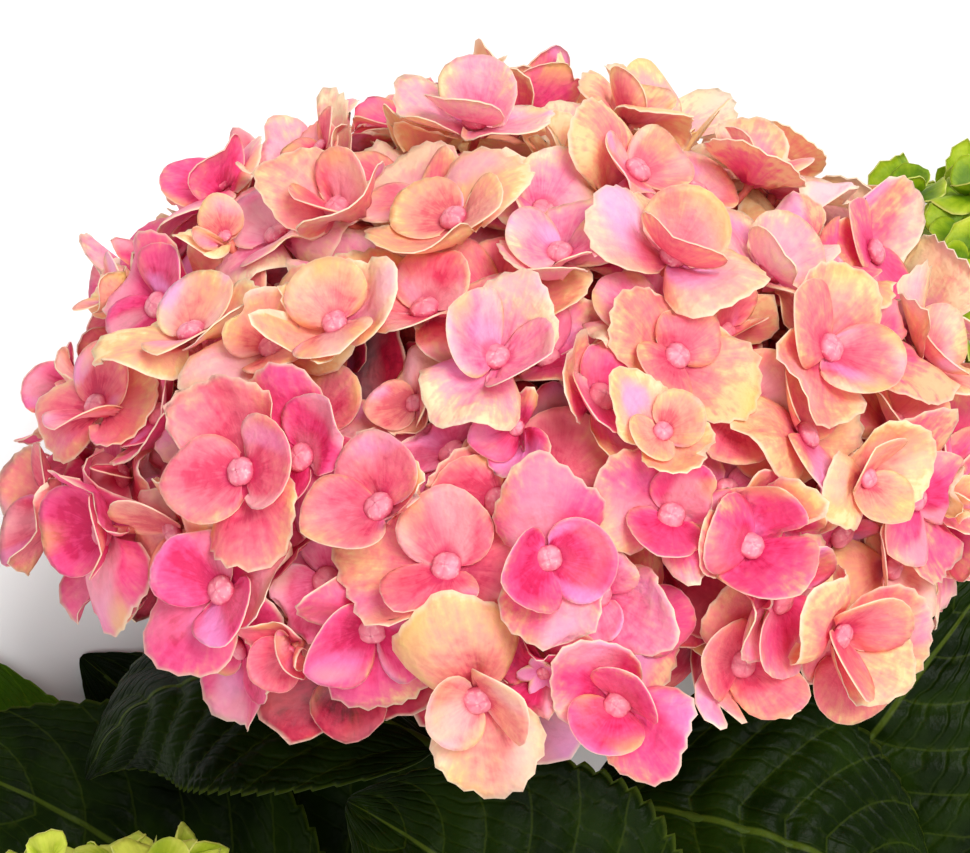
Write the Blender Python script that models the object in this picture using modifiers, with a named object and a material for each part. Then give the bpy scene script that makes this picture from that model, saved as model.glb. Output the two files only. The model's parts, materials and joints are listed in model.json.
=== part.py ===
"""A cut flowering branch of a mophead hydrangea, lying on a level surface.

The branch has one straight main stem that carries the large pink bloom, opposite pairs of leaves at its
nodes, and two side shoots that each carry a young green bloom and a pair of leaves. Everything is worked
out in a frame whose origin is on the surface under the middle of the pink bloom, with +Y towards the
bloom's top and +Z up. The finished branch is then moved to lie centred on the world's origin.
"""

import math
import random
from bisect import bisect
from collections import namedtuple

import bmesh
import bpy
from mathutils import Matrix, Vector

# The main stem, in the pose in which the branch comes to rest.
BLOOM_HEIGHT = 0.090  # middle of the pink bloom above the surface
STEM_LEAN, BLOOM_LEAN = math.radians(8), math.radians(3)  # to the left of +Y
STEM_LENGTH = 0.280  # from the middle of the pink bloom to the cut end
BLOOM_DROP = 0.014  # from the middle of the pink bloom down its stem to its widest ring
STEM_TOP = 0.062  # like all places on the stem, a distance from the middle of the pink bloom
CUT_RADIUS, STEM_TOP_RADIUS = 0.0044, 0.0032
STEM_NODES = {"upper": 0.076, "middle": 0.148, "fork": 0.219, "lower": 0.232}
STEM_STATIONS = 24
NODE_SWELL, NODE_SPREAD = 0.0013, 0.0055

# The side shoots.
SHOOT_RADIUS, SHOOT_TIP_RADIUS = 0.0031, 0.0022
SHOOT_NODE, SHOOT_NODE_SPREAD = 0.55, 0.035  # shares of a shoot's length
SHOOT_SWELL = 0.0008
SHOOT_STATIONS = 14
SHOOT_FOOT = 0.003  # length that stands square off the stem
SHOOT_BEND = 0.20  # of its reach, both out from the stem and along it
SHOOT_RUN_IN = 0.35  # of its reach, in line with its bloom

# Leaves.
PETIOLE_RADIUS, MIDRIB_TIP_RADIUS = 0.0019, 0.0006
PETIOLE_STATIONS, MIDRIB_STATIONS = 4, 3
PETIOLE_FOOT = 0.002
PETIOLE_BEND = 0.4  # of its reach, straight at each end
MIDRIB_SHARE = 0.6  # of the blade's length
MIDRIB_DROP = 0.0007  # its middle below the blade's
BLADE_THICKNESS = 0.0015
BLADE_STATIONS = 18
BLADE_BASE_HALF, BLADE_TIP_HALF = 0.0022, 0.0006
TOOTH = 0.05  # share of the half width
BLADE_STEP = 0.02  # share of the blade over which its direction is taken
BLADE_FLOOR = 0.0012

# Florets and the twigs that carry them.
FLORET_SIDES = 8
FLORET_NOTCH = 0.62  # radius between two sepals, against 1 at a tip
FLORET_BACK = 0.0018  # how far the back of a floret's middle stands behind its face
FLORET_FLOOR = 0.0004
STALK_DEPTH = 0.0008  # how far a stalk's end stands behind its floret's face
FLORET_CUP = (-0.05, 0.16)  # rise of a floret's rim, as a share of its radius
FLORET_LEAN = 0.10
FLORET_SIZES = (0.88, 1.08)  # shares of the bloom's floret radius
FLORET_LEVELS, LEVEL_STEP = 4, 0.17  # neighbours lie in unlike levels, a share of the radius apart
CROWDED_WITHIN = 2.1  # floret radii between two middles
SPREAD_STEPS = 200
SPREAD_TURN = 0.35  # radians that a loosely placed point may be turned by
TWIG_LOOSENESS, FLORET_LOOSENESS = 0.3, 0.4
BRANCH_REACH, RAY_REACH = 0.42, 0.74  # how far out the first and the second twigs end
RAY_SPAN = 0.5  # share of a twig, up to its end, along which its own twigs leave it
TWIG_SIDES = 3
TWIG_THICKNESS = 0.17  # radius of a bloom's own stem, as a share of its florets' radius
STEM_TAPER, BRANCH_TAPER, RAY_TAPER, STALK_TAPER = (1, 0.7), (0.8, 0.5), (0.6, 0.4), (0.42, 0.3)
FIRST_BRANCH, LAST_BRANCH = 0.35, 0.95  # shares of a bloom's own stem between which its branches leave it
GOLDEN_TURN = math.pi * (3 - math.sqrt(5))

GAP = 0.0003  # between pieces that touch in the real branch
TILTED_GAP = 0.0006  # at the stem's tip, where the bloom's foot is tilted to it
FLOOR_MARGIN = 0.004  # height over which a piece is bent to lie on the surface

GREEN = (0.045, 0.085, 0.020, 1)
STEM_GREEN = (0.16, 0.22, 0.07, 1)
PINK = (0.86, 0.25, 0.36, 1)
LIME = (0.55, 0.62, 0.13, 1)

Limb = namedtuple("Limb", "name points radii nodes")
Leaf = namedtuple("Leaf", "name limb node turn knee bend tip half_width tilt fold")
Bloom = namedtuple(
    "Bloom", "name centre axis half_width half_depth lowest foot forks florets radius seed colour"
)


def mm(x, y, z):
    return Vector((x, y, z)) / 1000


def rising(lean):
    """The stem's upward direction, for a lean to the left."""
    rise = math.asin((BLOOM_HEIGHT - CUT_RADIUS) / STEM_LENGTH)
    level = math.cos(rise)
    return Vector((-math.sin(lean) * level, math.cos(lean) * level, math.sin(rise)))


def on_stem(distance):
    return BLOOM_CENTRE - AXIS * distance


AXIS, BLOOM_AXIS = rising(STEM_LEAN), rising(BLOOM_LEAN)
BLOOM_CENTRE = Vector((0, 0, BLOOM_HEIGHT))
BLOOM_FOOT = STEM_TOP - BLOOM_DROP - TILTED_GAP

LEAVES = (
    Leaf("leaf_upper_left", "main_stem", "upper", -90,
         mm(-10, -64, 57), mm(-66, -34, 50), mm(-83, -73, 36), 0.025, 50, -0.28),
    Leaf("leaf_upper_right", "main_stem", "upper", 90,
         mm(20, -73, 71), mm(66, -76, 95), mm(89, -99, 64), 0.031, -26, 0.04),
    Leaf("leaf_middle_front", "main_stem", "middle", 0,
         mm(17, -112, 92), mm(8, -84, 126), mm(-26, -70, 99), 0.032, 4, 0.10),
    Leaf("leaf_middle_back", "main_stem", "middle", 180,
         mm(2, -126, 24), mm(-46, -84, 8), mm(-88, -50, -3), 0.035, 0, 0.08),
    Leaf("leaf_lower_left", "main_stem", "lower", -90,
         mm(-4, -216, 14), mm(-58, -209, 5), mm(-114, -196, -3), 0.035, 0, 0.08),
    Leaf("leaf_lower_right", "main_stem", "lower", 90,
         mm(46, -213, 14), mm(96, -196, 5), mm(146, -172, -3), 0.035, 0, 0.08),
    Leaf("leaf_left_outer", "shoot_left", "node", -120,
         mm(-56, -162, 31), mm(-88, -106, 18), mm(-116, -46, -1), 0.035, 0, 0.08),
    Leaf("leaf_left_inner", "shoot_left", "node", 60,
         mm(-36, -122, 36), mm(-72, -82, 25), mm(-126, -68, 16), 0.031, 0, 0.08),
    Leaf("leaf_right_outer", "shoot_right", "node", 60,
         mm(80, -96, 36), mm(106, -62, 50), mm(137, -24, 22), 0.033, 0, 0.08),
    Leaf("leaf_right_inner", "shoot_right", "node", -60,
         mm(58, -90, 48), mm(74, -64, 68), mm(108, -23, 52), 0.031, 0, 0.10),
)

BLOOMS = (
    Bloom("bloom_pink", on_stem(STEM_TOP - TILTED_GAP) + BLOOM_AXIS * BLOOM_FOOT, BLOOM_AXIS,
          0.084, 0.076, 102, BLOOM_FOOT, (7, 24), 106, 0.0188, 11, PINK),
    Bloom("bloom_green_left", mm(-80, -114, 74), Vector((-0.45, 0.75, 0.48)).normalized(),
          0.034, 0.026, 118, 0.026, (4, 9), 26, 0.0125, 5, LIME),
    Bloom("bloom_green_right", mm(111, 25, 38), Vector((0.35, 0.88, 0.33)).normalized(),
          0.034, 0.026, 118, 0.026, (4, 9), 26, 0.0125, 7, LIME),
)


# ---------------------------------------------------------------- places


def stem_radius(distance):
    share = (STEM_LENGTH - distance) / (STEM_LENGTH - STEM_TOP)
    radius = CUT_RADIUS + (STEM_TOP_RADIUS - CUT_RADIUS) * share
    for node in STEM_NODES.values():
        radius += NODE_SWELL * math.exp(-(((distance - node) / NODE_SPREAD) ** 2))
    return radius


def above_floor(point, floor):
    """The point, bent up so that it nears the surface softly and never goes through it."""
    if point.z >= floor + FLOOR_MARGIN:
        return point
    height = floor + FLOOR_MARGIN * math.exp((point.z - floor - FLOOR_MARGIN) / FLOOR_MARGIN)
    return Vector((point.x, point.y, height))


def across(axis, turn):
    """The unit vector square to an axis, turned by an angle in degrees from the upward side."""
    up = (Vector((0, 0, 1)) - axis * axis.z).normalized()
    return Matrix.Rotation(math.radians(turn), 3, axis) @ up


def cubic(a, b, c, d, share):
    rest = 1 - share
    return a * rest**3 + b * (3 * rest * rest * share) + c * (3 * rest * share * share) + d * share**3


def quadratic(a, b, c, share):
    rest = 1 - share
    return a * rest * rest + b * (2 * rest * share) + c * share * share


def turned_to(axis):
    """The rotation that takes +Z to an axis."""
    return axis.to_track_quat("Z", "Y").to_matrix()


# ---------------------------------------------------------------- limbs


def main_stem():
    """The main stem, from its cut end to its tip under the bloom."""
    points, radii = [], []
    for i in range(STEM_STATIONS + 1):
        distance = STEM_LENGTH + (STEM_TOP - STEM_LENGTH) * i / STEM_STATIONS
        points.append(on_stem(distance))
        radii.append(stem_radius(distance))
    return Limb("main_stem", points, radii, STEM_NODES)


def shoot(name, turn, sag, bloom):
    """A side shoot that leaves the stem square to it, bends forward and ends under its bloom."""
    out = across(AXIS, turn)
    distance = STEM_NODES["fork"]
    start = on_stem(distance) + out * (stem_radius(distance) + GAP)
    foot = start + out * SHOOT_FOOT
    tip = bloom.centre - bloom.axis * (bloom.foot + GAP)
    reach = (tip - foot).length
    bend = foot + ((out + AXIS) * SHOOT_BEND - Vector((0, 0, sag))) * reach
    run_in = tip - bloom.axis * reach * SHOOT_RUN_IN
    points = [start]
    for i in range(SHOOT_STATIONS + 1):
        points.append(cubic(foot, bend, run_in, tip, i / SHOOT_STATIONS))
    radii = []
    for i in range(len(points)):
        share = i / (len(points) - 1)
        swell = SHOOT_SWELL * math.exp(-(((share - SHOOT_NODE) / SHOOT_NODE_SPREAD) ** 2))
        radii.append(SHOOT_RADIUS + (SHOOT_TIP_RADIUS - SHOOT_RADIUS) * share + swell)
    return Limb(name, points, radii, {"node": SHOOT_NODE})


def node_of(limb, node):
    """The middle, the axis and the radius of a limb at one of its nodes."""
    if limb.name == "main_stem":
        distance = limb.nodes[node]
        return on_stem(distance), AXIS, stem_radius(distance)
    i = round(limb.nodes[node] * (len(limb.points) - 1))
    axis = (limb.points[i + 1] - limb.points[i - 1]).normalized()
    return limb.points[i], axis, limb.radii[i]


# ---------------------------------------------------------------- objects


def linked(name, mesh, collection):
    obj = bpy.data.objects.new(name, mesh)
    collection.objects.link(obj)
    return obj


def evaluated_mesh(obj):
    graph = bpy.context.evaluated_depsgraph_get()
    return bpy.data.meshes.new_from_object(obj.evaluated_get(graph))


def tube(name, points, radii, resolution, collection):
    """A closed tube through points, as a mesh."""
    curve = bpy.data.curves.new(name, "CURVE")
    curve.dimensions = "3D"
    curve.bevel_depth = 1
    curve.bevel_resolution = resolution
    curve.use_fill_caps = True
    spline = curve.splines.new("POLY")
    spline.points.add(len(points) - 1)
    for place, point, radius in zip(spline.points, points, radii):
        place.co = (*point, 1)
        place.radius = radius
    guide = linked(name + "_curve", curve, collection)
    mesh = evaluated_mesh(guide)
    bpy.data.objects.remove(guide)
    weld = bmesh.new()
    weld.from_mesh(mesh)
    bmesh.ops.remove_doubles(weld, verts=weld.verts, dist=1e-6)
    weld.to_mesh(mesh)
    weld.free()
    return linked(name, mesh, collection)


def twig(start, end, thick, taper, collection):
    """A three-sided twig between two points, with its radius at each as a share of a thickness."""
    along = end - start
    shape = bmesh.new()
    bmesh.ops.create_cone(
        shape,
        cap_ends=True,
        segments=TWIG_SIDES,
        radius1=thick * taper[0],
        radius2=thick * taper[1],
        depth=along.length,
    )
    place = Matrix.Translation((start + end) / 2) @ turned_to(along.normalized()).to_4x4()
    shape.transform(place)
    mesh = bpy.data.meshes.new("twig")
    shape.to_mesh(mesh)
    shape.free()
    return linked("twig", mesh, collection)


def fuse(body, pieces):
    """One Boolean union of a body with all the objects of a collection, which are then removed."""
    union = body.modifiers.new("union", "BOOLEAN")
    union.operation = "UNION"
    union.operand_type = "COLLECTION"
    union.collection = pieces
    union.solver = "MANIFOLD"
    mesh = evaluated_mesh(body)
    body.modifiers.clear()
    body.data = mesh
    for obj in list(pieces.objects):
        bpy.data.objects.remove(obj)


def painted(obj, colour, roughness):
    material = bpy.data.materials.new(obj.name)
    material.use_nodes = True
    surface = material.node_tree.nodes["Principled BSDF"]
    surface.inputs["Base Color"].default_value = colour
    surface.inputs["Roughness"].default_value = roughness
    surface.inputs["Metallic"].default_value = 0
    obj.data.materials.clear()
    obj.data.materials.append(material)


# ---------------------------------------------------------------- leaves


def blade_half_width(leaf, share):
    """Half the width of an egg-shaped blade that is drawn out to a point."""
    swell = math.sin(math.pi * share**0.8) ** 0.85
    least = BLADE_BASE_HALF + (BLADE_TIP_HALF - BLADE_BASE_HALF) * share
    return least + leaf.half_width * swell * (1 - 0.25 * share**4)


def blade_frame(leaf, share):
    """The spine's point at a share of the blade's length, with the directions across and out of its face."""
    point = quadratic(leaf.knee, leaf.bend, leaf.tip, share)
    ahead = quadratic(leaf.knee, leaf.bend, leaf.tip, min(1, share + BLADE_STEP))
    behind = quadratic(leaf.knee, leaf.bend, leaf.tip, max(0, share - BLADE_STEP))
    along = (ahead - behind).normalized()
    face = across(along, leaf.tilt)
    return point, along.cross(face), face


def blade_point(leaf, share, side):
    """A point of the blade, with side going from -1 at one edge over 0 at the midrib to 1."""
    point, sideways, face = blade_frame(leaf, share)
    half = blade_half_width(leaf, share)
    return point + sideways * (side * half) + face * (abs(side) * half * leaf.fold)


def blade(leaf, collection):
    shape = bmesh.new()
    bmesh.ops.create_grid(shape, x_segments=2, y_segments=BLADE_STATIONS, size=1)
    for vertex in shape.verts:
        share = (vertex.co.y + 1) / 2
        station = round(share * BLADE_STATIONS)
        tooth = TOOTH if station % 2 else -TOOTH
        place = blade_point(leaf, share, vertex.co.x * (1 + tooth))
        vertex.co = above_floor(place, BLADE_FLOOR)
    mesh = bpy.data.meshes.new(leaf.name)
    shape.to_mesh(mesh)
    shape.free()
    obj = linked(leaf.name, mesh, collection)
    shell = obj.modifiers.new("thickness", "SOLIDIFY")
    shell.thickness = BLADE_THICKNESS
    shell.offset = 0
    obj.data = evaluated_mesh(obj)
    obj.modifiers.clear()
    return obj


def petiole(leaf, limb, collection):
    """The leaf's stalk, from its node into the underside of the blade as its midrib."""
    middle, axis, radius = node_of(limb, leaf.node)
    out = across(axis, leaf.turn)
    start = middle + out * (radius + GAP)
    foot = start + out * PETIOLE_FOOT
    into = (leaf.bend - leaf.knee).normalized()
    bend = (leaf.knee - foot).length * PETIOLE_BEND
    points = [start]
    for i in range(PETIOLE_STATIONS):
        share = i / PETIOLE_STATIONS
        points.append(cubic(foot, foot + out * bend, leaf.knee - into * bend, leaf.knee, share))
    for i in range(MIDRIB_STATIONS + 1):
        point, _, face = blade_frame(leaf, MIDRIB_SHARE * i / MIDRIB_STATIONS)
        points.append(above_floor(point - face * MIDRIB_DROP, BLADE_FLOOR))
    radii = []
    for i in range(len(points)):
        share = i / (len(points) - 1)
        radii.append(PETIOLE_RADIUS + (MIDRIB_TIP_RADIUS - PETIOLE_RADIUS) * share)
    return tube(leaf.name + "_stalk", points, radii, 1, collection)


def leaf(spec, limbs, collection, pieces):
    obj = blade(spec, collection)
    petiole(spec, limbs[spec.limb], pieces)
    fuse(obj, pieces)
    painted(obj, GREEN, 0.5)
    return obj


# ---------------------------------------------------------------- blooms


def spheroid_point(bloom, polar, turn):
    return Vector((
        bloom.half_width * math.sin(polar) * math.cos(turn),
        bloom.half_width * math.sin(polar) * math.sin(turn),
        bloom.half_depth * math.cos(polar),
    ))


def spread(bloom, count, rng, loose):
    """Points spread evenly by area over a bloom, from its pole to its lowest florets."""
    lowest = math.radians(bloom.lowest)
    areas = [0]
    for i in range(SPREAD_STEPS):
        polar = lowest * (i + 0.5) / SPREAD_STEPS
        slant = math.hypot(bloom.half_width * math.cos(polar), bloom.half_depth * math.sin(polar))
        areas.append(areas[-1] + math.sin(polar) * slant)
    points = []
    for i in range(count):
        wanted = areas[-1] * (i + 0.5 + loose * (rng.random() - 0.5)) / count
        polar = lowest * (bisect(areas, wanted) - 0.5) / SPREAD_STEPS
        turn = i * GOLDEN_TURN + loose * SPREAD_TURN * (rng.random() - 0.5)
        points.append(spheroid_point(bloom, polar, turn))
    return points


def nearest(point, places):
    return min(range(len(places)), key=lambda i: (places[i] - point).length)


def forked(parents, ends, reach):
    """Twigs to a share of the way to each end point, each leaving the parent that ends nearest to it."""
    chosen = [nearest(end, [parent[2] for parent in parents]) for end in ends]
    twigs = []
    for number, (end, choice) in enumerate(zip(ends, chosen)):
        start, tip, _ = parents[choice]
        siblings = [i for i, other in enumerate(chosen) if other == choice]
        back = RAY_SPAN * (siblings.index(number) + 0.5) / len(siblings)
        twigs.append((tip + (start - tip) * back, end * reach, end))
    return twigs


def bloom_twigs(bloom, rng):
    """The stem of a bloom and the twigs that fork from it twice, in the bloom's own frame.

    Each is its start, its end and the point of the bloom's outside that it heads for.
    """
    foot = Vector((0, 0, -bloom.foot))
    crown = Vector((0, 0, 0))
    branches = []
    heads = spread(bloom, bloom.forks[0], rng, TWIG_LOOSENESS)
    heads.sort(key=lambda head: head.z)
    for i, head in enumerate(heads):
        share = FIRST_BRANCH + (LAST_BRANCH - FIRST_BRANCH) * (i + 0.5) / len(heads)
        branches.append((foot + (crown - foot) * share, head * BRANCH_REACH, head))
    rays = forked(branches, spread(bloom, bloom.forks[1], rng, TWIG_LOOSENESS), RAY_REACH)
    return (foot, crown), branches, rays


def crowding(place, level, placed, radius):
    """How closely the florets already placed in a level crowd a place."""
    total = 0
    for other, other_level in placed:
        apart = (other - place).length / radius
        if other_level == level and apart < CROWDED_WITHIN:
            total += (CROWDED_WITHIN - apart) ** 2
    return total


def bloom_florets(bloom, rng):
    """Each floret's middle, face direction, radius, twist and cup, in the bloom's own frame."""
    florets, placed = [], []
    flatness = (bloom.half_width / bloom.half_depth) ** 2
    for place in spread(bloom, bloom.florets, rng, FLORET_LOOSENESS):
        level = min(range(FLORET_LEVELS), key=lambda i: crowding(place, i, placed, bloom.radius))
        placed.append((place, level))
        square = Vector((place.x, place.y, place.z * flatness)).normalized()
        lean = Vector((rng.uniform(-1, 1), rng.uniform(-1, 1), rng.uniform(-1, 1))) * FLORET_LEAN
        face = (square + lean).normalized()
        lift = bloom.radius * LEVEL_STEP * (level - (FLORET_LEVELS - 1) / 2)
        size = bloom.radius * rng.uniform(*FLORET_SIZES)
        twist = rng.uniform(0, math.pi / 2)
        florets.append((place + face * lift, face, size, twist, rng.uniform(*FLORET_CUP)))
    return florets


def floret(centre, face, size, twist, cup, place, collection):
    """A closed four-lobed lens, cupped towards its face."""
    shape = bmesh.new()
    bmesh.ops.create_uvsphere(shape, u_segments=FLORET_SIDES, v_segments=2, radius=1)
    for vertex in shape.verts:
        if abs(vertex.co.z) > 0.5:
            vertex.co = (0, 0, 0 if vertex.co.z > 0 else -FLORET_BACK)
            continue
        turn = math.atan2(vertex.co.y, vertex.co.x)
        between = round(turn / (2 * math.pi) * FLORET_SIDES) % 2
        reach = size * (FLORET_NOTCH if between else 1)
        vertex.co = (math.cos(turn) * reach, math.sin(turn) * reach, cup * reach)
    turned = turned_to(face) @ Matrix.Rotation(twist, 3, "Z")
    shape.transform(place @ Matrix.Translation(centre) @ turned.to_4x4())
    for vertex in shape.verts:
        vertex.co = above_floor(vertex.co, FLORET_FLOOR)
    mesh = bpy.data.meshes.new("floret")
    shape.to_mesh(mesh)
    shape.free()
    return linked("floret", mesh, collection)


def bloom(spec, collection, pieces):
    """A mophead: a stem that forks twice, then one stalk to each floret, all fused."""
    rng = random.Random(spec.seed)
    place = Matrix.Translation(spec.centre) @ turned_to(spec.axis).to_4x4()
    stem, branches, rays = bloom_twigs(spec, rng)
    florets = bloom_florets(spec, rng)
    thick = spec.radius * TWIG_THICKNESS
    radii = [thick * share for share in STEM_TAPER]
    body = tube(spec.name, [place @ end for end in stem], radii, 1, collection)
    for start, end, _ in branches:
        twig(place @ start, place @ end, thick, BRANCH_TAPER, pieces)
    for start, end, _ in rays:
        twig(place @ start, place @ end, thick, RAY_TAPER, pieces)
    stalks = forked(rays, [centre - face * STALK_DEPTH for centre, face, *_ in florets], 1)
    for (start, end, _), (centre, face, size, twist, cup) in zip(stalks, florets):
        tip = above_floor(place @ end, FLORET_FLOOR + FLORET_BACK - STALK_DEPTH)
        twig(place @ start, tip, thick, STALK_TAPER, pieces)
        floret(centre, face, size, twist, cup, place, pieces)
    fuse(body, pieces)
    painted(body, spec.colour, 0.6)
    return body


# ---------------------------------------------------------------- assembly


def centre_on_origin(root, objects):
    """Moves the whole branch so that its box is centred over the origin and lies on the ground."""
    bpy.context.view_layer.update()
    corners = []
    for obj in objects:
        for vertex in obj.data.vertices:
            corners.append(obj.matrix_world @ vertex.co)
    low = [min(corner[i] for corner in corners) for i in range(3)]
    high = [max(corner[i] for corner in corners) for i in range(3)]
    root.location = (-(low[0] + high[0]) / 2, -(low[1] + high[1]) / 2, -low[2])


def main():
    for obj in list(bpy.data.objects):
        bpy.data.objects.remove(obj)
    branch = bpy.data.collections.new("hydrangea_branch")
    pieces = bpy.data.collections.new("pieces_to_fuse")
    bpy.context.scene.collection.children.link(branch)
    bpy.context.scene.collection.children.link(pieces)

    limbs = {
        "main_stem": main_stem(),
        "shoot_left": shoot("shoot_left", -90, 0, BLOOMS[1]),
        "shoot_right": shoot("shoot_right", 90, 0.11, BLOOMS[2]),
    }
    objects = []
    for limb in limbs.values():
        obj = tube(limb.name, limb.points, limb.radii, 2, branch)
        painted(obj, STEM_GREEN, 0.6)
        objects.append(obj)
    for spec in LEAVES:
        objects.append(leaf(spec, limbs, branch, pieces))
    for spec in BLOOMS:
        objects.append(bloom(spec, branch, pieces))

    root = bpy.data.objects.new("branch", None)
    branch.objects.link(root)
    for obj in objects:
        obj.parent = root
    centre_on_origin(root, objects)
    pieces.hide_render = True


main()
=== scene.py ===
"""The looks of a cut hydrangea branch: petals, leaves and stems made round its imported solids.

Places are worked out by the rules of the part's source, in a frame whose origin is on the surface under the
middle of the pink bloom, with +Y towards the bloom's top and +Z up. Each piece is then moved to where the
packed branch lies.
"""

import json
import math
import random
from bisect import bisect
from collections import namedtuple
from functools import lru_cache

import bpy
import numpy as np
from mathutils import Matrix, Vector


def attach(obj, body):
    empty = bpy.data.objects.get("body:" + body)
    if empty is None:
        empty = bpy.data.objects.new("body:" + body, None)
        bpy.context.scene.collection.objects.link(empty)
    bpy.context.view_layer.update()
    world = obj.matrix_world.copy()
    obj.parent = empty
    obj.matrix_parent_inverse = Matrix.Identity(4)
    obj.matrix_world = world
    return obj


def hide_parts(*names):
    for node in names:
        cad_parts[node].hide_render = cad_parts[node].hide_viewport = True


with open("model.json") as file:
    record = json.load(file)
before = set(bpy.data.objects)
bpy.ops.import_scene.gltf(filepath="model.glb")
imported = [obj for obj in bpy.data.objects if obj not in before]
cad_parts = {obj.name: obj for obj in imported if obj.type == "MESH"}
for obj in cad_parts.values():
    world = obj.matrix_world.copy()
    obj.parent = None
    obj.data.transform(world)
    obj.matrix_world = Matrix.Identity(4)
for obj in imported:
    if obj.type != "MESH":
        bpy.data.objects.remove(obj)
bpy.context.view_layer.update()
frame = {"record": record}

# ---- sizes shared with the part's source

BLOOM_HEIGHT = 0.090  # middle of the pink bloom above the surface
STEM_LEAN, BLOOM_LEAN = math.radians(8), math.radians(3)
STEM_LENGTH = 0.280
BLOOM_DROP = 0.014
STEM_TOP = 0.062
CUT_RADIUS, STEM_TOP_RADIUS = 0.0044, 0.0032
STEM_NODES = {"upper": 0.076, "middle": 0.148, "fork": 0.219, "lower": 0.232}
NODE_SWELL, NODE_SPREAD = 0.0013, 0.0055

SHOOT_RADIUS, SHOOT_TIP_RADIUS = 0.0031, 0.0022
SHOOT_NODE, SHOOT_NODE_SPREAD = 0.55, 0.035
SHOOT_SWELL = 0.0008
SHOOT_STATIONS = 14
SHOOT_FOOT = 0.003
SHOOT_BEND = 0.20
SHOOT_RUN_IN = 0.35

PETIOLE_RADIUS, MIDRIB_TIP_RADIUS = 0.0019, 0.0006
PETIOLE_FOOT = 0.002
PETIOLE_BEND = 0.4
BLADE_BASE_HALF, BLADE_TIP_HALF = 0.0022, 0.0006
BLADE_STEP = 0.02
BLADE_FLOOR = 0.0012

FLORET_FLOOR = 0.0004
FLORET_LEAN = 0.10
FLORET_LEVELS, LEVEL_STEP = 4, 0.17
CROWDED_WITHIN = 2.1
SPREAD_STEPS = 200
SPREAD_TURN = 0.35
TWIG_LOOSENESS, FLORET_LOOSENESS = 0.3, 0.4
BRANCH_REACH, RAY_REACH = 0.42, 0.74
RAY_SPAN = 0.5
TWIG_THICKNESS = 0.17
TAPERS = (1, 0.7), (0.8, 0.5), (0.6, 0.4), (0.42, 0.3)  # of a stem, its branches, rays and stalks
FIRST_BRANCH, LAST_BRANCH = 0.35, 0.95
GOLDEN_TURN = math.pi * (3 - math.sqrt(5))

GAP = 0.0003
TILTED_GAP = 0.0006
FLOOR_MARGIN = 0.004

Leaf = namedtuple("Leaf", "name limb node turn knee bend tip half_width tilt fold", defaults=(0, 0.08))
Bloom = namedtuple(
    "Bloom", "name centre axis half_width half_depth lowest foot forks florets radius twig seed"
)
Layer = namedtuple("Layer", "wide deep lowest florets large small")

# ---- sizes of the finer shapes

FINE_TWIGS, FINE_REACH = 2.9, 0.86  # third twigs for each second one, and how far out they end
FINE_LEAN, FINE_STEP = 4, 1.6  # times the source's
TWIG_SIDES, TWIG_STATIONS = 7, 6

SEEN_GRAIN, HIDDEN_GRAIN, GREEN_GRAIN = (8, 30), (5, 15), (7, 16)  # a sepal's rings and columns
SEPAL_SPAN = math.radians(84)  # half the angle that a sepal's fan takes at its base
SEPAL_CLAW = 0.05  # share of a sepal's length where its fan starts
RIM_ROLL = 0.00028  # how far a sepal's margin is rolled back
BUTTON_RADIUS, BUTTON_HEIGHT = 0.195, 0.17  # shares of a floret's radius
BUTTON_RINGS, BUTTON_SIDES, BUTTON_GROOVE = 7, 16, 0.28
OPEN_FLORET, OPEN_SEPALS = 85, 5  # the one whose middle has opened into a small star
OPEN_LENGTH, OPEN_LIFT, OPEN_BUTTON = 0.3, 0.09, 0.5  # shares of a floret's radius, and of its button

# The pink bloom's florets that show, and those under them: the shares of the source's bloom that they lie
# on, their lowest angle, their number, and large and small ones' sizes as shares of a floret's radius.
PINK_FLORETS = 240
PINK_LAYERS = (
    Layer(0.985, 0.92, 97, PINK_FLORETS, (0.94, 1.14), (0.62, 0.8)),
    Layer(0.82, 0.77, 101, 170, (1.04, 1.22), (0.8, 1.0)),
)
PINK_SMALL, GREEN_SMALL = 0.2, 0.25  # shares of small florets
PINK_LEAN, FLORET_SEED = math.radians(5), 96  # the lean is to the right
PINK_PAINTED_LIGHT, GREEN_PAINTED_LIGHT = 0.27, (0.35, -0.25)  # painted light and shade: how far a floret's place, or its bloom, shifts its colour, paler where light falls and darker in shade
CANOPY_CELL = 0.009  # radians, about 0.8 mm on the pink bloom
CANOPY_LOWEST = math.radians(165)
CLEAR_OF_FLORET, CLEAR_OF_SEPAL = 0.0005, 0.00022
PRESS_SPREAD = 0.9

BLADE_STATIONS, BLADE_COLUMNS = 150, 20
BLADE_THICKNESS, RIM_THICKNESS = 0.00055, 0.00028
TEETH, TOOTH_DEPTH = 26, 0.0018
SIDE_VEINS, VEIN_SWEEP = 8.5, 0.24
QUILT = 0.0014
RUNG_TURNS, RUNG_RELIEF = 22, 0.00006
BLADE_WAVES, BLADE_WAVE = 9, 0.0014
MIDRIB_GROOVE, MIDRIB_HALF = 0.0008, 0.0012
STALK_STATIONS, STALK_SIDES = 60, 12
STALK_SINK, STALK_FLARE, STALK_FLARE_SPREAD = 0.0004, 0.0012, 0.025
MIDRIB_REACH, MIDRIB_DEPTH = 0.94, 0.0007

STEM_STATIONS, STEM_SIDES = 260, 40
STEM_RING, STEM_RING_SPREAD = 0.00022, 0.0012  # the line round the middle node
CUT_LIP, PITH, PITH_DEPTH = 0.93, 0.45, 0.0003
BARK_STATIONS, BARK_SIDES = 150, 28

# ---- view and light

PIXEL = 0.19e-3  # at the middle of the pink bloom
PHOTO_WIDTH = 970
VIEW_DISTANCE = 0.600
SENSOR = 36
FLOOR_COLOUR, WORLD_STRENGTH = (0.95, 0.95, 0.95, 1), 0.34
# Each light's name, the direction it comes from, its strength and the angle it spreads over.
LIGHTS = (("key", (0.36, 0.40, 1.0), 3.1, 30), ("front", (-0.12, -0.55, 1.0), 1.4, 60))


def mm(x, y, z):
    return Vector((x, y, z)) / 1000


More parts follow.
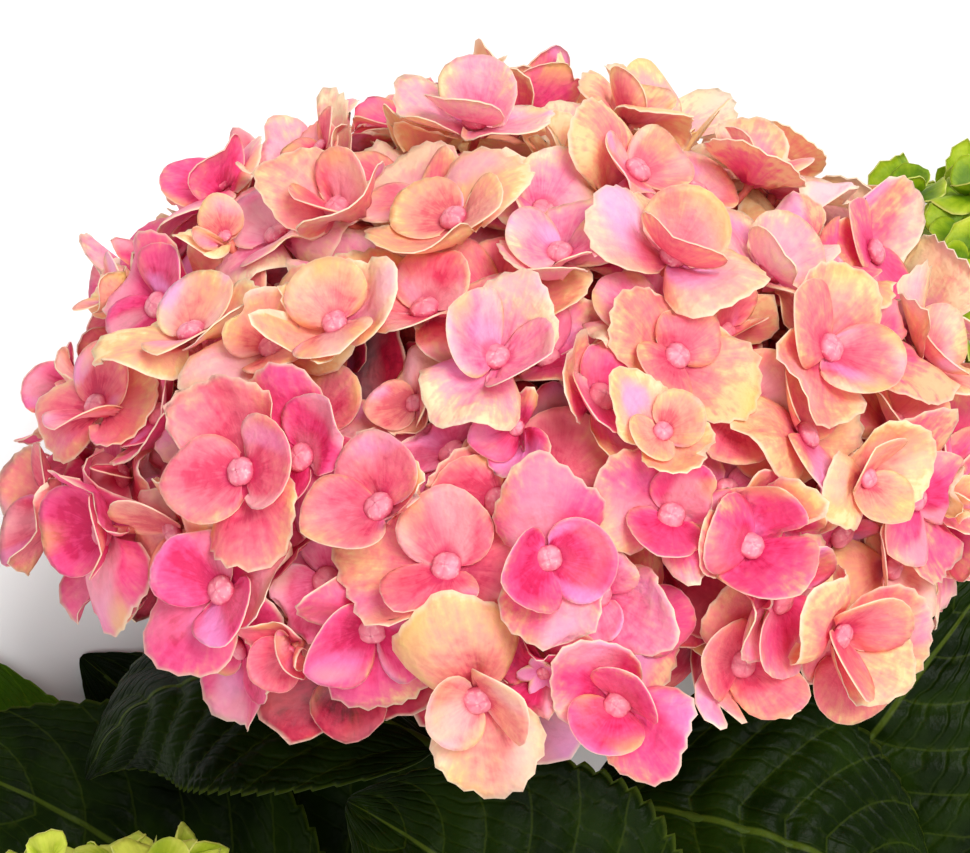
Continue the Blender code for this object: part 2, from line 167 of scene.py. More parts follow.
def rising(lean):
    """The stem's upward direction, for a lean to the left."""
    rise = math.asin((BLOOM_HEIGHT - CUT_RADIUS) / STEM_LENGTH)
    level = math.cos(rise)
    return Vector((-math.sin(lean) * level, math.cos(lean) * level, math.sin(rise)))


def on_stem(distance):
    return BLOOM_CENTRE - AXIS * distance


AXIS, BLOOM_AXIS = rising(STEM_LEAN), rising(BLOOM_LEAN)
BLOOM_CENTRE = Vector((0, 0, BLOOM_HEIGHT))
BLOOM_FOOT = STEM_TOP - BLOOM_DROP - TILTED_GAP
CUT_END = Vector(frame["record"]["mounts"][0]["pos_m"])
OFFSET = CUT_END - on_stem(STEM_LENGTH)  # from the source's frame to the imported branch

LEAVES = (
    Leaf("leaf_upper_left", "main_stem", "upper", -90,
         mm(-10, -64, 57), mm(-66, -34, 50), mm(-83, -73, 36), 0.025, 50, -0.28),
    Leaf("leaf_upper_right", "main_stem", "upper", 90,
         mm(20, -73, 71), mm(66, -76, 95), mm(89, -99, 64), 0.031, -26, 0.04),
    Leaf("leaf_middle_front", "main_stem", "middle", 0,
         mm(17, -112, 92), mm(8, -84, 126), mm(-26, -70, 99), 0.032, 4, 0.10),
    Leaf("leaf_middle_back", "main_stem", "middle", 180,
         mm(2, -126, 24), mm(-46, -84, 8), mm(-88, -50, -3), 0.035),
    Leaf("leaf_lower_left", "main_stem", "lower", -90,
         mm(-4, -216, 14), mm(-58, -209, 5), mm(-114, -196, -3), 0.035),
    Leaf("leaf_lower_right", "main_stem", "lower", 90,
         mm(46, -213, 14), mm(96, -196, 5), mm(146, -172, -3), 0.035),
    Leaf("leaf_left_outer", "shoot_left", "node", -120,
         mm(-56, -162, 31), mm(-88, -106, 18), mm(-116, -46, -1), 0.035),
    Leaf("leaf_left_inner", "shoot_left", "node", 60,
         mm(-36, -122, 36), mm(-72, -82, 25), mm(-126, -68, 16), 0.031),
    Leaf("leaf_right_outer", "shoot_right", "node", 60,
         mm(80, -96, 36), mm(106, -62, 50), mm(137, -24, 22), 0.033),
    Leaf("leaf_right_inner", "shoot_right", "node", -60,
         mm(58, -90, 48), mm(74, -64, 68), mm(108, -23, 52), 0.031, 0, 0.10),
)

# The florets are finer and more than in the source, on the same twigs.
PINK_BLOOM = Bloom("bloom_pink", on_stem(STEM_TOP - TILTED_GAP) + BLOOM_AXIS * BLOOM_FOOT, BLOOM_AXIS,
                   0.084, 0.076, 102, BLOOM_FOOT, (7, 24), PINK_FLORETS, 0.0122, 0.0188, 11)
GREEN_BLOOMS = [
    Bloom("bloom_green_" + side, centre, Vector(axis).normalized(),
          0.034, 0.026, 118, 0.026, (4, 9), 52, 0.0085, 0.0125, seed)
    for side, centre, axis, seed in (
        ("left", mm(-80, -114, 74), (-0.45, 0.75, 0.48), 5),
        ("right", mm(111, 25, 38), (0.35, 0.88, 0.33), 7),
    )
]


# ---- the source's rules


def swelling(apart, spread):
    """How much of a smooth swelling is left, at a distance from its middle."""
    return np.exp(-((apart / spread) ** 2))


def stem_radius(distance):
    share = (STEM_LENGTH - distance) / (STEM_LENGTH - STEM_TOP)
    radius = CUT_RADIUS + (STEM_TOP_RADIUS - CUT_RADIUS) * share
    for node in STEM_NODES.values():
        radius += NODE_SWELL * swelling(distance - node, NODE_SPREAD)
    return radius


def above_floor(points, floor):
    """The points, bent up so that they near the surface softly and never go through it."""
    height = points[..., 2]
    over = np.minimum(height - floor - FLOOR_MARGIN, 0)
    bent = floor + FLOOR_MARGIN * np.exp(over / FLOOR_MARGIN)
    points[..., 2] = np.where(over < 0, bent, height)
    return points


def across(axis, turn):
    """The unit vector square to an axis, turned by an angle in degrees from the upward side."""
    up = (Vector((0, 0, 1)) - axis * axis.z).normalized()
    return Matrix.Rotation(math.radians(turn), 3, axis) @ up


def cubic(a, b, c, d, share):
    rest = 1 - share
    return a * rest**3 + b * (3 * rest * rest * share) + c * (3 * rest * share * share) + d * share**3


def quadratic(a, b, c, share):
    rest = 1 - share
    return a * rest * rest + b * (2 * rest * share) + c * share * share


def turned_to(axis):
    """The rotation that takes +Z to an axis."""
    return axis.to_track_quat("Z", "Y").to_matrix()


def shoot(turn, sag, bloom):
    """A side shoot that leaves the stem square to it, bends forward and ends under its bloom."""
    out = across(AXIS, turn)
    distance = STEM_NODES["fork"]
    start = on_stem(distance) + out * (stem_radius(distance) + GAP)
    foot = start + out * SHOOT_FOOT
    tip = bloom.centre - bloom.axis * (bloom.foot + GAP)
    reach = (tip - foot).length
    bend = foot + ((out + AXIS) * SHOOT_BEND - Vector((0, 0, sag))) * reach
    run_in = tip - bloom.axis * reach * SHOOT_RUN_IN
    points = [start]
    for i in range(SHOOT_STATIONS + 1):
        points.append(cubic(foot, bend, run_in, tip, i / SHOOT_STATIONS))
    radii = []
    for i in range(len(points)):
        share = i / (len(points) - 1)
        swell = SHOOT_SWELL * swelling(share - SHOOT_NODE, SHOOT_NODE_SPREAD)
        radii.append(SHOOT_RADIUS + (SHOOT_TIP_RADIUS - SHOOT_RADIUS) * share + swell)
    return points, radii


SHOOTS = {"shoot_left": shoot(-90, 0, GREEN_BLOOMS[0]), "shoot_right": shoot(90, 0.11, GREEN_BLOOMS[1])}


def node_of(limb, node):
    """The middle, the axis and the radius of a limb at one of its nodes. A shoot has only one."""
    if limb == "main_stem":
        distance = STEM_NODES[node]
        return on_stem(distance), AXIS, stem_radius(distance)
    points, radii = SHOOTS[limb]
    i = round(SHOOT_NODE * (len(points) - 1))
    return points[i], (points[i + 1] - points[i - 1]).normalized(), radii[i]


def blade_half_width(leaf, share):
    swell = math.sin(math.pi * share**0.8) ** 0.85
    least = BLADE_BASE_HALF + (BLADE_TIP_HALF - BLADE_BASE_HALF) * share
    return least + leaf.half_width * swell * (1 - 0.25 * share**4)


def blade_frame(leaf, share):
    shares = share, min(1, share + BLADE_STEP), max(0, share - BLADE_STEP)
    point, ahead, behind = (quadratic(leaf.knee, leaf.bend, leaf.tip, at) for at in shares)
    along = (ahead - behind).normalized()
    face = across(along, leaf.tilt)
    return point, along.cross(face), face


def spread(bloom, count, rng, loose):
    """Points spread evenly by area over a bloom, from its pole to its lowest florets."""
    lowest = math.radians(bloom.lowest)
    areas = [0]
    for i in range(SPREAD_STEPS):
        polar = lowest * (i + 0.5) / SPREAD_STEPS
        slant = math.hypot(bloom.half_width * math.cos(polar), bloom.half_depth * math.sin(polar))
        areas.append(areas[-1] + math.sin(polar) * slant)
    points = []
    for i in range(count):
        wanted = areas[-1] * (i + 0.5 + loose * (rng.random() - 0.5)) / count
        polar = lowest * (bisect(areas, wanted) - 0.5) / SPREAD_STEPS
        turn = i * GOLDEN_TURN + loose * SPREAD_TURN * (rng.random() - 0.5)
        level, height = bloom.half_width * math.sin(polar), bloom.half_depth * math.cos(polar)
        points.append(Vector((level * math.cos(turn), level * math.sin(turn), height)))
    return points


def nearest(point, places):
    return min(range(len(places)), key=lambda i: (places[i] - point).length)


def forked(parents, ends, reach):
    """Twigs to a share of the way to each end point, each leaving the parent that ends nearest to it."""
    chosen = [nearest(end, [parent[2] for parent in parents]) for end in ends]
    twigs = []
    for number, (end, choice) in enumerate(zip(ends, chosen)):
        start, tip, _ = parents[choice]
        siblings = [i for i, other in enumerate(chosen) if other == choice]
        back = RAY_SPAN * (siblings.index(number) + 0.5) / len(siblings)
        twigs.append((tip + (start - tip) * back, end * reach, end))
    return twigs


def bloom_twigs(bloom, rng):
    """The stem of a bloom and the twigs that fork from it three times, in the bloom's own frame."""
    foot = Vector((0, 0, -bloom.foot))
    crown = Vector()
    branches = []
    heads = spread(bloom, bloom.forks[0], rng, TWIG_LOOSENESS)
    heads.sort(key=lambda head: head.z)
    for i, head in enumerate(heads):
        share = FIRST_BRANCH + (LAST_BRANCH - FIRST_BRANCH) * (i + 0.5) / len(heads)
        branches.append((foot + (crown - foot) * share, head * BRANCH_REACH, head))
    rays = forked(branches, spread(bloom, bloom.forks[1], rng, TWIG_LOOSENESS), RAY_REACH)
    fine = spread(bloom, round(bloom.forks[1] * FINE_TWIGS), rng, TWIG_LOOSENESS)
    return (foot, crown), branches, rays, forked(rays, fine, FINE_REACH)


def crowding(place, level, placed, radius):
    """How closely the florets already placed in a level crowd a place."""
    total = 0
    for other, other_level in placed:
        apart = (other - place).length / radius
        if other_level == level and apart < CROWDED_WITHIN:
            total += (CROWDED_WITHIN - apart) ** 2
    return total


# ---- meshes


def full_turn(count):
    return np.linspace(0, 2 * math.pi, count, endpoint=False)


@lru_cache(maxsize=None)
def grid_faces(rows, columns, closed):
    """The quads of a grid, with each corner's place on the unit square. Closed joins its sides."""
    steps = columns if closed else columns - 1
    row, column = (x.ravel() for x in np.meshgrid(np.arange(rows - 1), np.arange(steps), indexing="ij"))
    corners, places = [], []
    for down, right in ((0, 0), (0, 1), (1, 1), (1, 0)):
        corners.append((row + down) * columns + (column + right) % columns)
        places.append(np.stack([(column + right) / steps, (row + down) / (rows - 1)], 1))
    return np.stack(corners, 1), np.stack(places, 1)


def cap_places(columns, height):
    """A cap's corners on the unit square, in the strip beside the grid."""
    turn = full_turn(columns)
    return np.stack([0.93 + 0.05 * np.cos(turn), height + 0.05 * np.sin(turn)], 1)


def added(name, data):
    obj = bpy.data.objects.new(name, data)
    bpy.context.scene.collection.objects.link(obj)
    return obj


class Piece:
    """One joined mesh, gathered from grids of points that each get a cell of its map."""

    def __init__(self, name, nodes, slot, material):
        self.name, self.nodes, self.slot, self.material = name, nodes, slot, material
        self.grids = []

    def add(self, points, closed=False, **channels):
        self.grids.append((points, closed, channels))

    def mesh(self):
        mesh = bpy.data.meshes.new(self.name)
        cells = math.ceil(math.sqrt(len(self.grids)))
        points, corners, sizes, places = [], [], [], []
        channels = {name: [] for name in self.grids[0][2]}
        count = 0
        for number, (grid, closed, values) in enumerate(self.grids):
            rows, columns = grid.shape[:2]
            faces, spots = grid_faces(rows, columns, closed)
            faces, spots = [faces.ravel()], [spots.reshape(-1, 2) * (0.86, 1)]
            sizes += [4] * (len(faces[0]) // 4)
            if closed:
                ring = np.arange(columns)
                faces += [ring[::-1], ring + (rows - 1) * columns]
                spots += [cap_places(columns, 0.25), cap_places(columns, 0.75)]
                sizes += [columns, columns]
            cell = np.array((number % cells, number // cells))
            points.append(grid.reshape(-1, 3))
            corners.append(np.concatenate(faces) + count)
            places.append((cell + 0.03 + 0.94 * np.concatenate(spots)) / cells)
            for name, value in values.items():
                channels[name].append(np.broadcast_to(value, (rows, columns)).ravel())
            count += rows * columns
        points = np.concatenate(points) + np.array(OFFSET)
        corners = np.concatenate(corners)
        mesh.vertices.add(count)
        mesh.vertices.foreach_set("co", points.astype(np.float32).ravel())
        mesh.loops.add(len(corners))
        mesh.loops.foreach_set("vertex_index", corners.astype(np.int32))
        mesh.polygons.add(len(sizes))
        mesh.polygons.foreach_set("loop_start", np.cumsum([0] + sizes[:-1]).astype(np.int32))
        mesh.update(calc_edges=True)
        layer = mesh.uv_layers.new(name="OFBake", do_init=False)
        layer.uv.foreach_set("vector", np.concatenate(places).astype(np.float32).ravel())
        for name, values in channels.items():
            channel = mesh.attributes.new(name, "FLOAT", "POINT")
            channel.data.foreach_set("value", np.concatenate(values).astype(np.float32))
        mesh.shade_smooth()
        return mesh

    def build(self):
        obj = added(self.name, self.mesh())
        obj.data.materials.append(self.material)
        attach(obj, "root")
        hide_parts(*self.nodes)


def resampled(points, count):
    """Points spaced evenly along a smooth curve through others."""
    points = np.array(points)
    ends = np.vstack([2 * points[0] - points[1], points, 2 * points[-1] - points[-2]])
    fine = []
    for i in range(1, len(ends) - 2):
        a, b, c, d = ends[i - 1:i + 3]
        bend, twist = 2 * a - 5 * b + 4 * c - d, 3 * b - 3 * c + d - a
        for t in np.linspace(0, 1, 12, endpoint=False):
            fine.append(0.5 * (2 * b + (c - a) * t + bend * t**2 + twist * t**3))
    fine = np.array(fine + [ends[-2]])
    run = np.hstack([0, np.cumsum(np.linalg.norm(np.diff(fine, axis=0), axis=1))])
    wanted = np.linspace(0, run[-1], count)
    return np.stack([np.interp(wanted, run, fine[:, i]) for i in range(3)], 1)


def tube(points, radii, sides):
    """The grid of a tube through points. radii is a number for each ring, or for each of its points."""
    ways = np.gradient(points, axis=0)
    ways /= np.linalg.norm(ways, axis=1, keepdims=True)
    side = np.cross(ways[0], (0.31, 0.17, 0.93))
    turn = full_turn(sides)
    rings = []
    for point, way, radius in zip(points, ways, radii):
        side = side - way * side.dot(way)
        side /= np.linalg.norm(side)
        other = np.cross(way, side)
        ring = np.cos(turn)[:, None] * side + np.sin(turn)[:, None] * other
        rings.append(point + ring * np.reshape(radius, (-1, 1)))
    return np.array(rings)


# ---- materials


def linear(red, green, blue):
    """A colour from its 8-bit display values."""
    return tuple((c / 255 / 12.92) if c < 11 else ((c / 255 + 0.055) / 1.055) ** 2.4
                 for c in (red, green, blue)) + (1,)


class Shader:
    """A material's node tree, with short calls for its nodes. An input is a socket or a value."""

    def __init__(self, name, colour=(0, 0, 0), specular=0.5):
        self.colour = linear(*colour)
        self.material = bpy.data.materials.new(name)
        self.material.use_nodes = True
        self.tree = self.material.node_tree
        self.surface = self.tree.nodes["Principled BSDF"]
        self.surface.inputs["Specular IOR Level"].default_value = specular
        self.place = self.node("TexCoord").outputs["Object"]

    def node(self, kind, inputs=(), **settings):
        node = self.tree.nodes.new("ShaderNode" + kind)
        for name, value in settings.items():
            setattr(node, name, value)
        for name, value in dict(inputs).items():
            self.put(node.inputs[name], value)
        return node

    def put(self, socket, value):
        if isinstance(value, bpy.types.NodeSocket):
            self.tree.links.new(value, socket)
        else:
            socket.default_value = value

    def channel(self, name):
        return self.node("Attribute", attribute_name=name).outputs["Fac"]

    def maths(self, operation, *values):
        node = self.node("Math", operation=operation)
        for socket, value in zip(node.inputs, values):
            self.put(socket, value)
        return node.outputs[0]

    def times(self, first, second):
        return self.maths("MULTIPLY", first, second)

    def greater(self, first, second):
        return self.maths("MAXIMUM", first, second)

    def noise(self, scale, detail):
        inputs = {"Vector": self.place, "Scale": scale, "Detail": detail}
        return self.node("TexNoise", inputs).outputs["Fac"]

    def steps(self, value, low, high):
        """0 below low, 1 above high and a smooth rise between."""
        inputs = {"Value": value, "From Min": low, "From Max": high}
        return self.node("MapRange", inputs, interpolation_type="SMOOTHSTEP").outputs["Result"]

    def ramp(self, value, stops):
        """Takes the colour from a ramp. Each stop is a place and a colour's 8-bit display values."""
        node = self.node("ValToRGB", {"Fac": value})
        elements = node.color_ramp.elements
        while len(elements) < len(stops):
            elements.new(1)
        for element, (place, *colour) in zip(elements, stops):
            element.position, element.color = place, linear(*colour)
        self.colour = node.outputs["Color"]

    def tint(self, share, colour, strength=1):
        """Turns a share of the colour so far to another, given by its 8-bit display values."""
        share = share if strength == 1 else self.times(share, strength)
        node = self.node("Mix", data_type="RGBA")
        for number, value in ((0, share), (6, self.colour), (7, linear(*colour))):
            self.put(node.inputs[number], value)
        self.colour = node.outputs[2]

    def finish(self, height, relief, roughness, through=0):
        """Puts the colour and the relief on the surface, of which a share lets light through."""
        normal = self.node("Bump", {"Height": height, "Distance": relief}).outputs["Normal"]
        for name, value in (("Base Color", self.colour), ("Normal", normal), ("Roughness", roughness)):
            self.put(self.surface.inputs[name], value)
        if through:
            back = self.node("BsdfTranslucent", {"Color": self.colour, "Normal": normal})
            both = self.node("MixShader")
            for socket, value in zip(both.inputs, (through, self.surface.outputs[0], back.outputs[0])):
                self.put(socket, value)
            self.put(self.tree.nodes["Material Output"].inputs["Surface"], both.outputs[0])
        return self.material


# Each kind of pink petal: its number of pieces, how much its veins show, the share of light that it lets
# through, and its colours as it turns from the first to the last.
Petals = namedtuple("Petals", "pieces vein through stops")
PETALS = {
    "rose": Petals(3, 0.12, 0.2, (
        (0.00, 218, 42, 100), (0.12, 234, 62, 122), (0.42, 246, 86, 144),
        (0.66, 248, 116, 146), (0.84, 249, 154, 142), (1.00, 252, 196, 150),
    )),
    "coral": Petals(2, 0.1, 0.2, (
        (0.00, 224, 68, 104), (0.12, 238, 92, 122), (0.40, 246, 120, 136),
        (0.64, 249, 148, 138), (0.84, 250, 178, 140), (1.00, 252, 208, 150),
    )),
    "blush": Petals(1, 0.08, 0.2, (
        (0.00, 236, 84, 136), (0.14, 246, 108, 156), (0.42, 251, 146, 178),
        (0.68, 252, 174, 180), (0.86, 253, 198, 170), (1.00, 254, 226, 184),
    )),
    "peach": Petals(1, 0.07, 0.2, (
        (0.00, 230, 106, 116), (0.14, 242, 136, 132), (0.42, 250, 168, 146),
        (0.68, 251, 188, 142), (0.86, 252, 208, 144), (1.00, 254, 226, 168),
    )),
    # The hidden florets under the others are painted dark crimson as shade deep in the bloom, and let no
    # light through.
    "deep": Petals(1, 0.15, 0, (
        (0.00, 120, 8, 34), (0.30, 176, 24, 62), (0.70, 196, 44, 72), (1.00, 206, 84, 76),
    )),
}
LIME = ((0.00, 98, 136, 8), (0.30, 142, 172, 20), (0.70, 186, 204, 48), (1.00, 214, 222, 88))
# The margin's pale rim, partly a painted highlight, and the veins' colour, which also paints the shade round
# each button.
PALE_RIM_AND_HIGHLIGHT, VEIN_AND_BUTTON_SHADE = (255, 236, 206), (206, 34, 96)
PALE, LILAC, SUNLIT = (254, 226, 226), (250, 166, 232), (240, 214, 104)


def petal_shader(name, stops, contrast):
    """What all petals share, with how far up its sepal a place lies, its veins and its grain."""
    shader = Shader(name, specular=0.3)
    side, along = shader.channel("side"), shader.channel("along")
    place = {"X": shader.times(side, 7), "Y": along, "Z": shader.channel("seed")}
    fanned = shader.node("CombineXYZ", place).outputs[0]
    inputs = {"Vector": fanned, "Scale": 2.6, "Detail": 2, "Roughness": 0.62}
    streaks = shader.node("TexNoise", inputs).outputs["Fac"]
    grain = shader.noise(520, 3)
    lines = shader.maths("SINE", shader.maths("MULTIPLY_ADD", side, 34, shader.times(grain, 4)))
    veins = shader.times(shader.steps(lines, 0.2, 1.0), shader.steps(along, 0.9, 0.25))
    flecks = shader.maths("MULTIPLY_ADD", grain, 0.6, shader.times(streaks, 0.4))
    flecks = shader.maths("SUBTRACT", flecks, 0.5)
    shader.ramp(shader.maths("MULTIPLY_ADD", flecks, contrast, shader.channel("tone")), stops)
    return shader, along, veins, grain


def petal_material(name, kind):
    shader, along, veins, grain = petal_shader(name, kind.stops, 1.4)
    for channel, colour in (("pale", PALE), ("lilac", LILAC), ("sunlit", SUNLIT)):
        shader.tint(shader.channel(channel), colour)
    # Painted shade: a darker ring at each sepal's base, round the button, in the veins' colour.
    middle = shader.times(shader.steps(along, 0.32, 0.2), 0.5)
    shader.tint(shader.greater(shader.times(veins, kind.vein), middle), VEIN_AND_BUTTON_SHADE)
    # A pale rim at the margin: partly the margin's own paler colour, partly a painted highlight where the
    # thin edge catches light.
    shader.tint(shader.steps(along, 0.95, 1.02), PALE_RIM_AND_HIGHLIGHT, 0.8)
    return shader.finish(grain, 0.0004, 0.52, kind.through)


def button_material():
    shader = Shader("buttons", (238, 138, 156))
    # Painted shade: darker towards the button's foot, where it sits among the sepals.
    shader.tint(shader.steps(shader.channel("along"), 0.22, 0.6), (200, 60, 98))
    # Painted shade: darker in the grooves of its cross.
    shader.tint(shader.channel("side"), (214, 88, 122), 0.5)
    speckle = shader.noise(1300, 3)
    shader.tint(shader.steps(speckle, 0.5, 0.8), (255, 210, 206), 0.6)
    return shader.finish(speckle, 0.0002, 0.45)


def lime_material():
    shader, along, veins, grain = petal_shader("green_petals", LIME, 0.8)
    shader.tint(veins, (104, 140, 16), 0.25)
    # A pale rim at the margin: partly its own paler colour, partly a painted highlight where the thin edge
    # catches light.
    shader.tint(shader.steps(along, 0.96, 1.03), (232, 232, 130))
    return shader.finish(grain, 0.0003, 0.55, 0.2)


def twig_material(name, first, second):
    shader = Shader(name, first)
    streaks = shader.noise(260, 3)
    shader.tint(shader.steps(streaks, 0.35, 0.65), second)
    return shader.finish(streaks, 0.0002, 0.5)


def stem_material():
    shader = Shader("stems", (126, 142, 78))
    mottle = shader.noise(190, 4)
    shader.tint(shader.steps(mottle, 0.3, 0.7), (92, 112, 56))
    shader.tint(shader.channel("node"), (132, 74, 66), 0.5)
    stretched = shader.node("Mapping", {"Vector": shader.place, "Scale": (1, 0.35, 1)})
    cells = shader.node("TexVoronoi", {"Vector": stretched.outputs[0], "Scale": 420})
    spots = shader.steps(cells.outputs["Distance"], 0.24, 0.12)
    shader.tint(spots, (196, 190, 140), 0.7)
    shader.tint(shader.channel("cut"), (214, 220, 176))
    return shader.finish(shader.maths("MULTIPLY_ADD", spots, 0.8, mottle), 0.0004, 0.5)


def leaf_material(name, dark, light, vein, under):
    """Side veins lie at whole numbers of the order channel, and cross veins run between them."""
    shader = Shader(name, dark, 0.05)
    side, mottle, fine = shader.channel("side"), shader.noise(75, 3), shader.noise(420, 3)
    out = shader.maths("ABSOLUTE", side)
    order = shader.maths("MULTIPLY_ADD", fine, 0.06, shader.channel("order"))
    apart = shader.maths("PINGPONG", order, 0.5)
    spokes = shader.steps(apart, 0.04, 0.01)
    dots = shader.times(shader.steps(apart, 0.2, 0.0), shader.steps(fine, 0.5, 0.66))
    steps_across = shader.maths("MULTIPLY_ADD", side, 8, shader.times(mottle, 2.5))
    rungs = shader.maths("PINGPONG", steps_across, 0.5)
    ladder = shader.times(shader.steps(rungs, 0.09, 0.01), 0.3)
    midrib = shader.times(shader.steps(out, 0.03, 0.01), 0.7)
    side_veins = shader.greater(shader.greater(spokes, ladder), shader.times(dots, 0.7))
    shader.tint(shader.steps(mottle, 0.35, 0.7), light)
    shader.tint(shader.greater(shader.times(side_veins, 0.22), midrib), vein, 0.7)
    shader.tint(shader.steps(out, 0.96, 1.0), vein, 0.4)
    shader.tint(shader.channel("under"), under, 0.7)
    pillows = shader.maths("ADD", shader.steps(apart, 0, 0.25), shader.steps(rungs, 0, 0.25))
    height = shader.maths("MULTIPLY_ADD", fine, 0.8, shader.times(pillows, 0.4))
    return shader.finish(height, 0.0004, 0.4)


# ---- florets

# The range of each trait for inner sepals, which are rounder, and for outer ones.
SEPAL_TRAITS = {
    "broad": ((0.42, 0.54), (0.5, 0.66)),
    "skew": ((-0.16, 0.16), (-0.16, 0.16)),
    "apex": ((0.02, 0.2), (0.12, 0.36)),
    "square": ((0, 0.1), (0.06, 0.24)),
    "lobes": ((-0.02, 0.02), (-0.05, 0.05)),
    "cup": ((0.05, 0.4), (-0.15, 0.35)),
    "fold": ((-0.12, 0.3), (-0.12, 0.3)),
    "ruffle": ((0.015, 0.05), (0.04, 0.13)),
    "waves": ((2.5, 4.5), (3.2, 7)),
    "phase": ((0, 2 * math.pi), (0, 2 * math.pi)),
    "reflex": ((-0.5, 0.6), (-0.8, 1.1)),
    "teeth": ((0.002, 0.01), (0.018, 0.036)),
}
SepalShape = namedtuple("SepalShape", ["length", "turn", "rise", "layer", "outer", *SEPAL_TRAITS])


@lru_cache(maxsize=None)
def fan(rings, columns):
    """The angle and reach of each point of a sepal. The last ring is its margin, rolled back."""
    reach = SEPAL_CLAW + (1 - SEPAL_CLAW) * (np.arange(rings + 1) / rings) ** 0.85
    reach = np.append(reach, 1)
    angle = np.linspace(-SEPAL_SPAN, SEPAL_SPAN, columns + 1)
    return np.meshgrid(angle, reach)


def rotated(x, y, angle):
    return x * math.cos(angle) - y * math.sin(angle), x * math.sin(angle) + y * math.cos(angle)


def sepal(shape, rng, rings, columns):
    """The grid of one sepal, in the frame of its floret."""
    angle, reach = fan(rings, columns)
    outline = np.cos(angle) ** shape.broad * (1 + shape.skew * np.sin(angle))
    outline *= 1 + shape.apex * np.maximum(0, 1 - np.abs(angle) / 0.55)
    outline *= 1 + shape.square * np.sin(np.minimum(np.abs(angle) * 2, math.pi)) ** 2
    outline *= 1 + shape.lobes * np.sin(5 * angle + 3 * shape.phase)
    jags = np.array([rng.uniform(0.2, 1) * (-1 if i % 2 else 1) for i in range(columns + 1)])
    outline *= 1 + shape.teeth * jags * reach**10
    x = outline * reach * np.sin(angle)
    y = outline * reach * np.cos(angle)
    z = shape.cup * (1.3 * x * x + 0.7 * y * y) + shape.fold * np.abs(x) * y
    z += shape.ruffle * reach**2.5 * np.sin(shape.waves * angle + shape.phase)
    z -= shape.reflex * np.maximum(0, reach - 0.5) ** 2
    x, y, z = x * shape.length, y * shape.length, z * shape.length
    z[-1] -= RIM_ROLL
    y, z = rotated(y, z, shape.rise)
    x, y = rotated(x, y, shape.turn)
    return np.stack([x, y, z + shape.layer], -1)


def blotches(rng, across, up, waves):
    """A soft random pattern over a sepal, from about -1 to 1."""
    total = 0
    for _ in range(waves):
        way, pace, phase = rng.uniform(0, math.pi), rng.uniform(2.5, 8), rng.uniform(0, 2 * math.pi)
        total = total + np.sin(pace * (across * math.cos(way) + up * math.sin(way)) + phase)
    return total / waves**0.5


def petal_channels(shape, rng, rings, columns, painted_light):
    """What a petal's material reads at each of its points."""
    angle, reach = fan(rings, columns)
    place = rng, reach * np.sin(angle), reach * np.cos(angle)
    along = reach + np.append(np.zeros(rings + 1), 0.04)[:, None] - (0 if shape.outer else 0.02)
    tone = 0.68 * reach**1.4 + (0.14 if shape.outer else -0.06)
    # painted_light moves the tone: up the ramp is paler, as painted light, and down it darker, as painted
    # shade.
    tone = np.clip(tone + 0.16 * blotches(*place, 4) + painted_light, 0, 1)
    lilac = np.clip(blotches(*place, 3) - 0.5, 0, 0.7) * rng.choice((0, 0, 0.5, 0.9))
    sunlit = np.clip(blotches(*place, 3) - 0.2, 0, 0.9) * np.clip(reach * 2.4 - 1.3, 0, 1)
    sunlit = sunlit * rng.choice((0, 0.25, 0.6))
    pale = np.clip(0.5 * blotches(*place, 3) + 0.15, 0, 0.5) * rng.choice((0, 0.2, 0.7))
    return {"along": along, "side": angle / SEPAL_SPAN, "tone": tone, "lilac": lilac, "sunlit": sunlit,
            "pale": pale, "seed": rng.uniform(0, 50)}


def sepal_shapes(rng, size, upright):
    """A floret's sepals: an inner pair, in front, and an outer pair, larger and toothed."""
    sepals = []
    count = rng.choices((3, 4, 5), (0.06, 0.88, 0.06))[0]
    open_angle = 4 + 34 * rng.random() ** 1.5 + upright
    inner = rng.uniform(0.8, 0.98)
    for i in range(count):
        outer = i % 2 == 1
        rise = open_angle + rng.uniform(-4, 6) - (rng.uniform(4, 14) if outer else 0)
        if rng.random() < 0.2:
            rise += rng.uniform(10, 34)
        sepals.append(SepalShape(
            length=size * (rng.uniform(0.98, 1.15) if outer else inner * rng.uniform(0.93, 1.03)),
            turn=2 * math.pi * i / count + rng.uniform(-0.2, 0.2),
            rise=math.radians(rise),
            layer=size * (-0.02 if outer else 0.035) + size * rng.uniform(-0.008, 0.008),
            outer=outer,
            **{trait: rng.uniform(*ranges[outer]) for trait, ranges in SEPAL_TRAITS.items()},
        ))
    sepals.sort(key=lambda shape: shape.outer)
    return sepals


def button(size):
    """The grid of a floret's middle, with how far down it and how deep in its cross each point lies."""
    polar = np.linspace(math.radians(4), math.radians(128), BUTTON_RINGS)[:, None]
    turn = full_turn(BUTTON_SIDES)[None]
    apart = np.abs((turn / (math.pi / 2)) % 1 - 0.5) * 2
    groove = swelling(1 - apart, BUTTON_GROOVE) * np.ones_like(polar)
    radius = size * BUTTON_RADIUS * (1 - 0.06 * groove)
    height = size * BUTTON_HEIGHT
    grid = np.stack([
        radius * np.sin(polar) * np.cos(turn),
        radius * np.sin(polar) * np.sin(turn),
        height * (0.55 + 0.65 * np.cos(polar)) - 0.07 * height * groove * (polar < 1),
    ], -1)
    return grid, polar / math.pi, groove


def open_middle(size):
    """The small sepals of a middle that has opened, each with its grid in its floret's frame."""
    rng = random.Random(OPEN_FLORET)
    sepals = []
    for i in range(OPEN_SEPALS):
        shape = SepalShape(
            length=size * OPEN_LENGTH, turn=2 * math.pi * i / OPEN_SEPALS,
            rise=math.radians(rng.uniform(20, 40)), layer=size * OPEN_LIFT, outer=False,
            broad=1.3, skew=0, apex=0.3, square=0, lobes=0, cup=0.3, fold=0.5, ruffle=0.02, waves=3, phase=0,
            reflex=0.8, teeth=0,
        )
        sepals.append((shape, sepal(shape, rng, *HIDDEN_GRAIN)))
    return sepals


